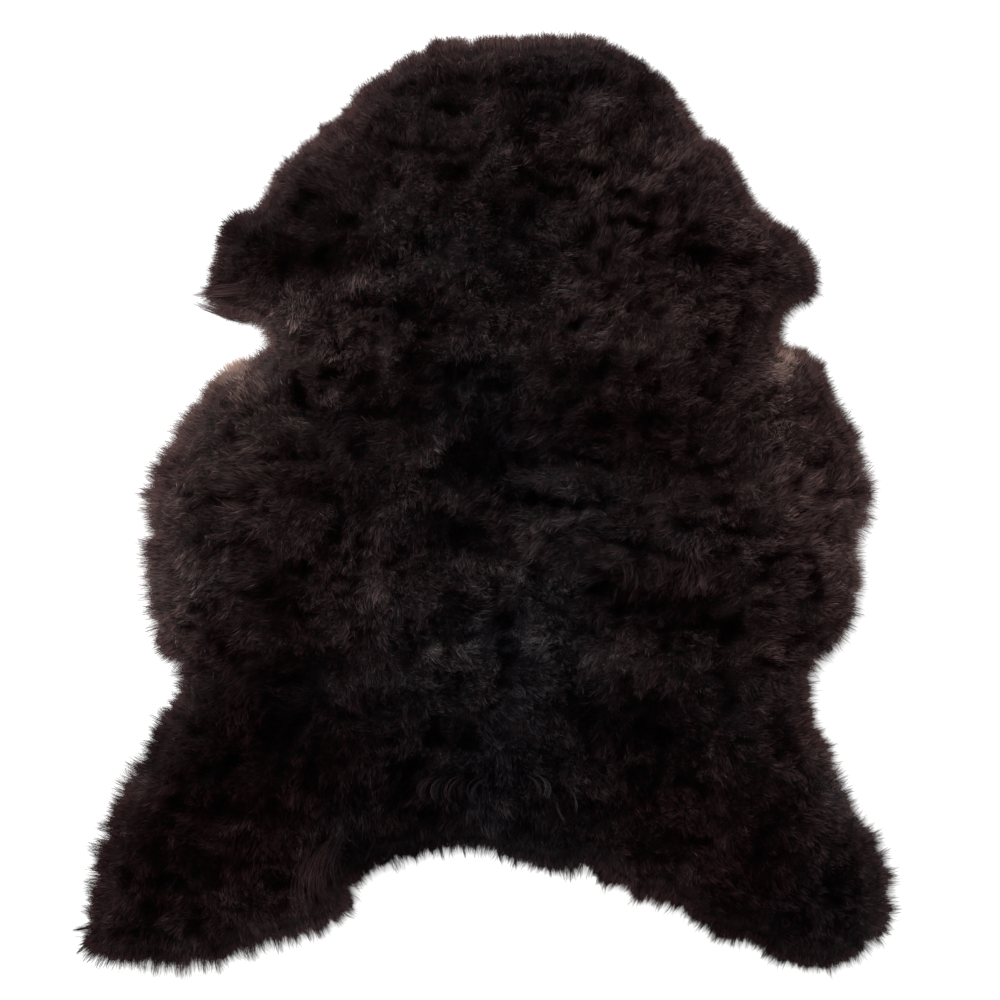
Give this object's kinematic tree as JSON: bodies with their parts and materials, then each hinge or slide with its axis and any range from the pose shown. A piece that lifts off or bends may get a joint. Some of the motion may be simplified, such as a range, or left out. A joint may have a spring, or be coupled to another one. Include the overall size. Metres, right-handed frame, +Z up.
{
  "type": "sheepskin rug",
  "caption": "Whole-pelt sheepskin rug with deep wool, a rounded neck, foreleg stubs, round flanks and spread hind flaps, lying flat on the floor.",
  "frame": {"origin": "centre of the rug's footprint box, on the floor under it", "axes": "+Z up through the wool, +Y along the spine towards the neck, +X to the right seen from above"},
  "size_m": [0.8772, 1.0076, 0.0535],
  "materials": {
    "wool_dark_brown": "matte"
  },
  "bodies": {
    "root": {"sheepskin": "wool_dark_brown"}
  },
  "joints": []
}
